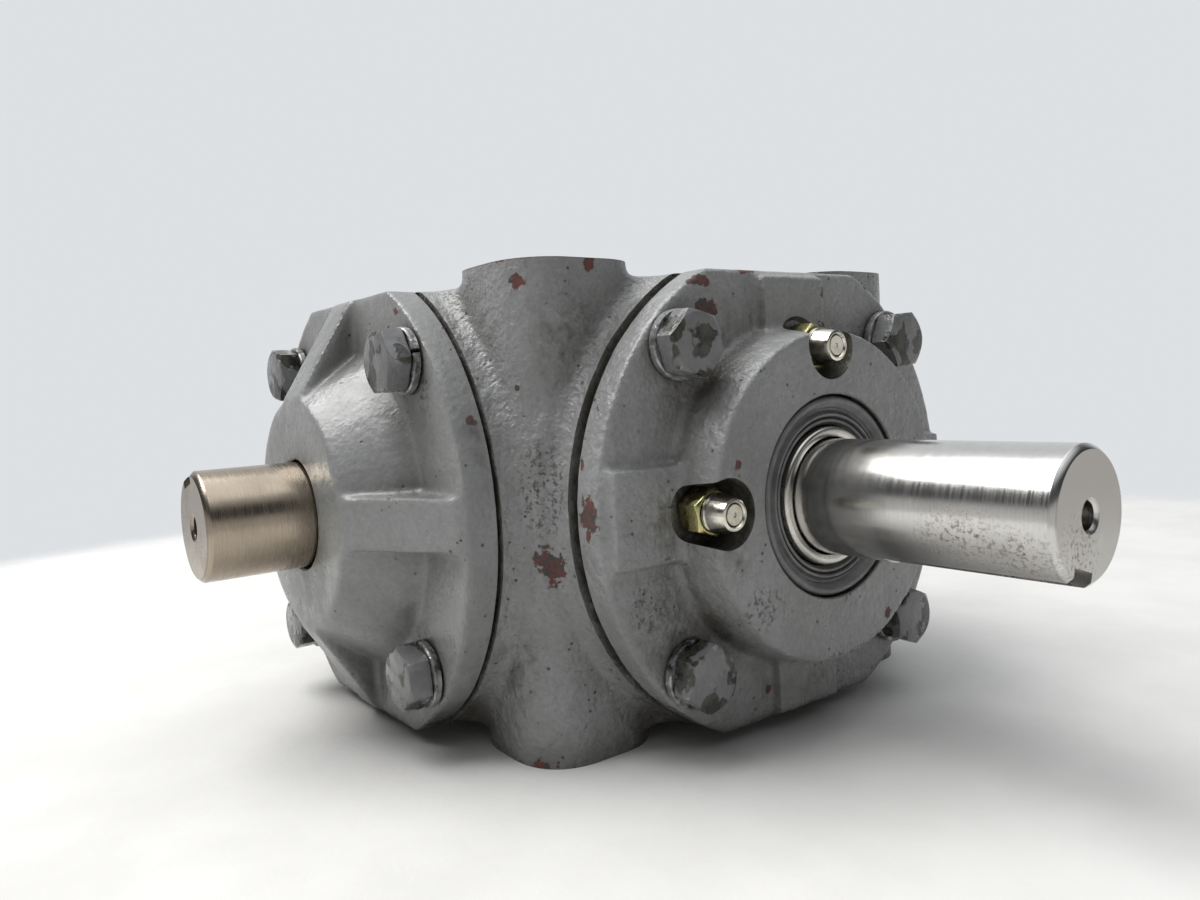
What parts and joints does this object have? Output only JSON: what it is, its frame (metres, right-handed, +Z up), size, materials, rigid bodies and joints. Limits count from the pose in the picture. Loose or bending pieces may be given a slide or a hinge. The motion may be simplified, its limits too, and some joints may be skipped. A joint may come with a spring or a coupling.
{
  "type": "right angle bevel gearbox",
  "caption": "Compact right angle bevel gearbox: cast housing with corner posts, flanged round covers, two keyed shafts at 90 degrees and mitre gears inside.",
  "frame": {"origin": "centre of the housing's flat underside, straight below the point where the two shaft axes cross (50.8 mm up)", "axes": "+X along the output shaft, -Y along the input shaft, +Z up"},
  "size_m": [0.2275, 0.1801, 0.108],
  "materials": {
    "enamel": "worn grey machinery enamel over rough cast iron, satin",
    "screws": "steel screws and washers painted over in grey, oily and chipped",
    "polished_shaft": "bright polished steel with light rust specks",
    "ground_shaft": "satin ground steel with a faint bronze tint",
    "hardened_steel": "oiled hardened and ground steel",
    "spring_steel": "dark oiled steel",
    "rollers": "polished rollers in a pressed steel cage",
    "seal": "moulded rubber painted over in grey",
    "shim": "thin oil-darkened shims and gasket",
    "yellow_zinc": "yellow zinc plated steel",
    "cap_steel": "bright plated steel"
  },
  "bodies": {
    "gearcase": {"housing": "enamel", "output_cover": "enamel", "input_cover": "enamel", "rear_cap": "enamel", "output_shims": "shim", "input_gasket": "shim", "rear_gasket": "shim", "output_bolt_1": "screws", "output_bolt_2": "screws", "output_bolt_3": "screws", "output_bolt_4": "screws", "output_lock_washer_1": "screws", "output_lock_washer_2": "screws", "output_lock_washer_3": "screws", "output_lock_washer_4": "screws", "input_bolt_1": "screws", "input_bolt_2": "screws", "input_bolt_3": "screws", "input_bolt_4": "screws", "input_lock_washer_1": "screws", "input_lock_washer_2": "screws", "input_lock_washer_3": "screws", "input_lock_washer_4": "screws", "rear_bolt_1": "screws", "rear_bolt_2": "screws", "rear_bolt_3": "screws", "rear_bolt_4": "screws", "rear_lock_washer_1": "screws", "rear_lock_washer_2": "screws", "rear_lock_washer_3": "screws", "rear_lock_washer_4": "screws", "input_bearing_snap_ring": "spring_steel", "output_front_bearing_cup": "hardened_steel", "output_rear_bearing_cup": "hardened_steel", "input_outer_bearing_cup": "hardened_steel", "input_inner_bearing_cup": "hardened_steel", "output_seal": "seal", "output_wiper_ring": "polished_shaft", "input_seal": "seal", "relief_fitting_top": "yellow_zinc", "relief_fitting_side": "yellow_zinc", "relief_cap_top": "cap_steel", "relief_cap_side": "cap_steel"},
    "output_shaft_group": {"output_shaft": "polished_shaft", "output_gear": "hardened_steel", "output_gear_key": "spring_steel", "output_gear_spacer": "spring_steel", "output_front_bearing_cone": "hardened_steel", "output_rear_bearing_cone": "hardened_steel"},
    "input_shaft_group": {"input_shaft": "ground_shaft", "input_pinion": "hardened_steel", "pinion_key": "spring_steel", "pinion_retaining_ring": "spring_steel", "input_shaft_lock_ring": "spring_steel", "input_outer_bearing_cone": "hardened_steel", "input_inner_bearing_cone": "hardened_steel"},
    "output_front_rollers": {"output_front_bearing_rollers": "rollers"},
    "output_rear_rollers": {"output_rear_bearing_rollers": "rollers"},
    "input_outer_rollers": {"input_outer_bearing_rollers": "rollers"},
    "input_inner_rollers": {"input_inner_bearing_rollers": "rollers"}
  },
  "joints": [
    {"name": "output_shaft_spin", "type": "hinge", "parent": "gearcase", "child": "output_shaft_group", "pos_m": [0, 0, 0.0508], "axis": [1, 0, 0], "continuous": true},
    {"name": "input_shaft_spin", "type": "hinge", "parent": "gearcase", "child": "input_shaft_group", "pos_m": [0, 0, 0.0508], "axis": [0, -1, 0], "continuous": true},
    {"name": "output_front_rollers_roll", "type": "hinge", "parent": "gearcase", "child": "output_front_rollers", "pos_m": [0, 0, 0.0508], "axis": [1, 0, 0], "continuous": true},
    {"name": "output_rear_rollers_roll", "type": "hinge", "parent": "gearcase", "child": "output_rear_rollers", "pos_m": [0, 0, 0.0508], "axis": [1, 0, 0], "continuous": true},
    {"name": "input_outer_rollers_roll", "type": "hinge", "parent": "gearcase", "child": "input_outer_rollers", "pos_m": [0, 0, 0.0508], "axis": [0, -1, 0], "continuous": true},
    {"name": "input_inner_rollers_roll", "type": "hinge", "parent": "gearcase", "child": "input_inner_rollers", "pos_m": [0, 0, 0.0508], "axis": [0, -1, 0], "continuous": true}
  ],
  "couplings": [
    {"joint": "input_shaft_spin", "follows": "output_shaft_spin", "ratio": -1},
    {"joint": "output_front_rollers_roll", "follows": "output_shaft_spin", "ratio": 0.434},
    {"joint": "output_rear_rollers_roll", "follows": "output_shaft_spin", "ratio": 0.434},
    {"joint": "input_outer_rollers_roll", "follows": "output_shaft_spin", "ratio": -0.434},
    {"joint": "input_inner_rollers_roll", "follows": "output_shaft_spin", "ratio": -0.434}
  ]
}
